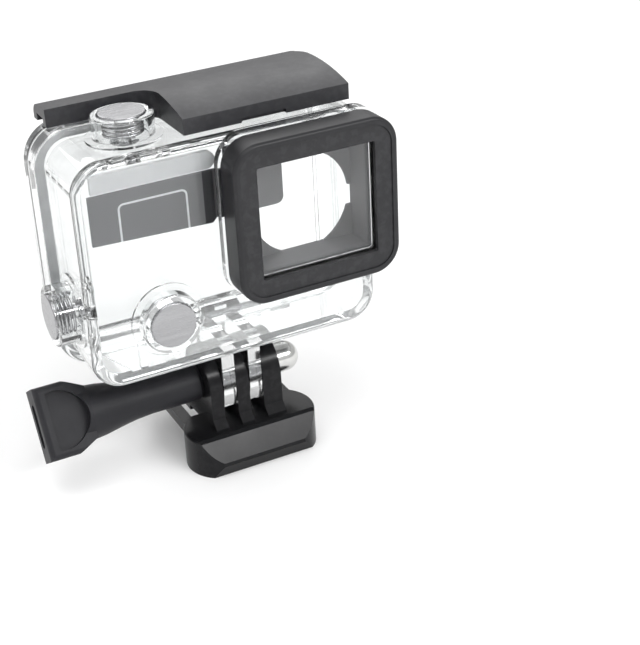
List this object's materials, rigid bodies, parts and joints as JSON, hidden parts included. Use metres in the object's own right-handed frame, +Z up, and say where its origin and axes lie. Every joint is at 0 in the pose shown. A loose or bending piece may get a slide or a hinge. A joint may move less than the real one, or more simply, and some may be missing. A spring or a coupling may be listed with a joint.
{
  "type": "action camera housing",
  "caption": "Clear waterproof action camera housing with black lens bezel, hinged back door, top latch and push buttons, on a quick-release buckle with a thumb screw.",
  "frame": {"origin": "centre of the buckle's underside, straight below the clamp screw's axis", "axes": "+X to the right seen from the lens side, along the clamp screw; +Y from the lens to the back door; +Z up, from the buckle to the latch"},
  "size_m": [0.0781, 0.044, 0.084],
  "materials": {
    "clear_shell": "clear polished polycarbonate",
    "buckle_black": "glossy black moulded plastic",
    "knob_black": "matte charcoal moulded plastic",
    "latch_black": "satin black moulded plastic",
    "frame_black": "satin charcoal moulded plastic",
    "mask_grey": "flat dark grey plate",
    "liner_grey": "smooth mid-grey sheet",
    "lens_glass": "polished clear glass",
    "button_steel": "satin stainless steel with a bright rim",
    "spring_steel": "bright spring steel",
    "bolt_steel": "plain zinc-plated steel",
    "pin_steel": "ground stainless steel",
    "nut_nickel": "nickel plate",
    "dark_rubber": "black seal rubber",
    "pale_rubber": "white silicone rubber"
  },
  "bodies": {
    "buckle": {"buckle_base": "buckle_black", "cap_nut": "nut_nickel"},
    "clamp_screw": {"thumb_knob": "knob_black", "clamp_bolt": "bolt_steel"},
    "housing": {"front_shell": "clear_shell", "lens_frame": "frame_black", "lens_mask": "mask_grey", "lens_window": "lens_glass", "lens_seal": "dark_rubber", "inner_liner": "liner_grey", "upper_rest_pad": "pale_rubber", "door_hinge_pin": "pin_steel", "latch_hinge_pin": "pin_steel", "shutter_button_spring": "spring_steel", "power_button_spring": "spring_steel", "side_button_spring": "spring_steel"},
    "door": {"back_door": "clear_shell", "door_gasket": "pale_rubber"},
    "latch_crank": {"latch_crank": "latch_black"},
    "latch_lever": {"latch_lever": "latch_black", "latch_lever_pin": "pin_steel"},
    "shutter_button": {"shutter_button": "button_steel", "shutter_button_seal": "dark_rubber", "shutter_button_clip": "spring_steel"},
    "power_button": {"power_button": "button_steel", "power_button_seal": "dark_rubber", "power_button_clip": "spring_steel"},
    "side_button": {"side_button": "button_steel", "side_button_seal": "dark_rubber", "side_button_clip": "spring_steel"}
  },
  "joints": [
    {"name": "housing_tilt", "type": "hinge", "parent": "buckle", "child": "housing", "pos_m": [0, 0, 0.012], "axis": [1, 0, 0], "range_deg": [-20, 60]},
    {"name": "clamp_screw_spin", "type": "hinge", "parent": "buckle", "child": "clamp_screw", "pos_m": [0, 0, 0.012], "axis": [1, 0, 0], "continuous": true},
    {"name": "door_swing", "type": "hinge", "parent": "housing", "child": "door", "pos_m": [0, 0.0122, 0.0183], "axis": [-1, 0, 0], "range_deg": [0, 90]},
    {"name": "latch_crank_swing", "type": "hinge", "parent": "housing", "child": "latch_crank", "pos_m": [0.0078, 0.0024, 0.0747], "axis": [-1, 0, 0], "range_deg": [0, 120]},
    {"name": "latch_lever_lift", "type": "hinge", "parent": "latch_crank", "child": "latch_lever", "pos_m": [0.0078, -0.0026, 0.0752], "axis": [-1, 0, 0], "range_deg": [-112, 0]},
    {"name": "shutter_button_press", "type": "slide", "parent": "housing", "child": "shutter_button", "axis": [0, 0, -1], "range_m": [0, 0.0012], "stiffness_N_per_m": 800, "springref_m": -0.001, "deforming": ["shutter_button_spring"]},
    {"name": "power_button_press", "type": "slide", "parent": "housing", "child": "power_button", "axis": [0, 1, 0], "range_m": [0, 0.0012], "stiffness_N_per_m": 800, "springref_m": -0.001, "deforming": ["power_button_spring"]},
    {"name": "side_button_press", "type": "slide", "parent": "housing", "child": "side_button", "axis": [1, 0, 0], "range_m": [0, 0.0012], "stiffness_N_per_m": 800, "springref_m": -0.001, "deforming": ["side_button_spring"]}
  ],
  "couplings": [
    {"joint": "latch_lever_lift", "follows": "latch_crank_swing", "ratio": -0.93}
  ]
}
